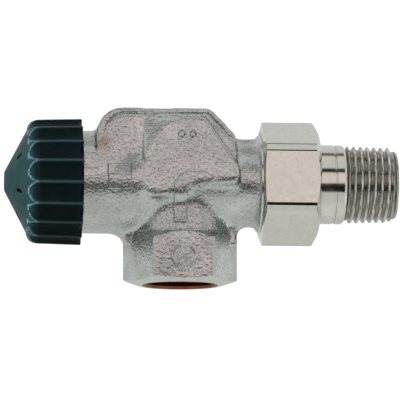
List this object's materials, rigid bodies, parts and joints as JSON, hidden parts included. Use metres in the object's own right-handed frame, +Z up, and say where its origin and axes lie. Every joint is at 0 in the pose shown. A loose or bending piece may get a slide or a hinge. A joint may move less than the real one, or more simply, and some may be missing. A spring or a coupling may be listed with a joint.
{
  "type": "thermostatic radiator valve",
  "caption": "Axial-form thermostatic radiator valve body with a fluted protective cap, an inner spring-loaded disc insert, a hexagonal inlet boss and a union nut with a threaded tailpiece.",
  "frame": {"origin": "centre of the inlet mouth, on the flat end face of the hexagonal boss", "axes": "+Z up along the inlet axis into the body, +X along the valve axis towards the radiator tailpiece, with the protective cap towards -X; the valve axis lies 27.6 mm over the origin"},
  "size_m": [0.1054, 0.0342, 0.0463],
  "materials": {
    "cast_nickel": "sand-cast gunmetal, nickel plated, satin with a cast grain",
    "green_plastic": "moulded plastic, dark green-black, satin",
    "pad_plastic": "moulded acetal, natural",
    "housing_brass": "turned brass, bright",
    "insert_rubber": "moulded EPDM, matt black",
    "gland_brass": "turned brass, bright",
    "gland_rubber": "moulded EPDM, matt black",
    "gland_steel": "punched stainless steel",
    "stainless": "ground stainless steel",
    "spindle_steel": "turned stainless steel",
    "spindle_rubber": "moulded EPDM, matt black",
    "clip_steel": "punched spring steel",
    "retainer_steel": "punched stainless steel",
    "spring_steel": "drawn stainless spring wire",
    "bush_brass": "turned brass",
    "holder_brass": "pressed brass",
    "disc_rubber": "moulded EPDM, matt black",
    "washer_brass": "punched brass",
    "nut_brass": "turned brass hexagon",
    "polished_nickel": "polished nickel plate on brass",
    "threaded_nickel": "nickel plate on turned brass"
  },
  "bodies": {
    "casting": {"valve_body": "cast_nickel", "insert_housing": "housing_brass", "insert_o_ring": "insert_rubber", "gland_screw": "gland_brass", "gland_o_ring": "gland_rubber", "gland_washer": "gland_steel", "spindle_o_ring": "spindle_rubber", "guide_bush": "bush_brass", "return_spring": "spring_steel"},
    "spindle_assembly": {"pressure_pin": "stainless", "spindle": "spindle_steel", "retaining_clip": "clip_steel", "spring_retainer": "retainer_steel", "disc_holder": "holder_brass", "seal_disc": "disc_rubber", "disc_washer": "washer_brass", "disc_nut": "nut_brass"},
    "cap_pad": {"thrust_pad": "pad_plastic"},
    "cap": {"protective_cap": "green_plastic"},
    "tail": {"tailpiece": "threaded_nickel"},
    "nut": {"union_nut": "polished_nickel"}
  },
  "joints": [
    {"name": "spindle_stroke", "type": "slide", "parent": "casting", "child": "spindle_assembly", "axis": [1, 0, 0], "range_m": [0, 0.0025], "stiffness_N_per_m": 3000, "springref_m": -0.005, "deforming": ["return_spring"]},
    {"name": "cap_travel", "type": "slide", "parent": "casting", "child": "cap_pad", "axis": [-1, 0, 0], "range_m": [0, 0.009]},
    {"name": "cap_turn", "type": "hinge", "parent": "cap_pad", "child": "cap", "pos_m": [0, 0, 0.0276], "axis": [-1, 0, 0], "range_deg": [0, 2160]},
    {"name": "union_travel", "type": "slide", "parent": "casting", "child": "tail", "axis": [1, 0, 0], "range_m": [0, 0.01088]},
    {"name": "nut_turn", "type": "hinge", "parent": "tail", "child": "nut", "pos_m": [0, 0, 0.0276], "axis": [1, 0, 0], "range_deg": [0, 2160]}
  ],
  "couplings": [
    {"joint": "cap_turn", "follows": "cap_travel", "rad_per_m": 4188.8},
    {"joint": "nut_turn", "follows": "union_travel", "rad_per_m": 3463.7}
  ]
}
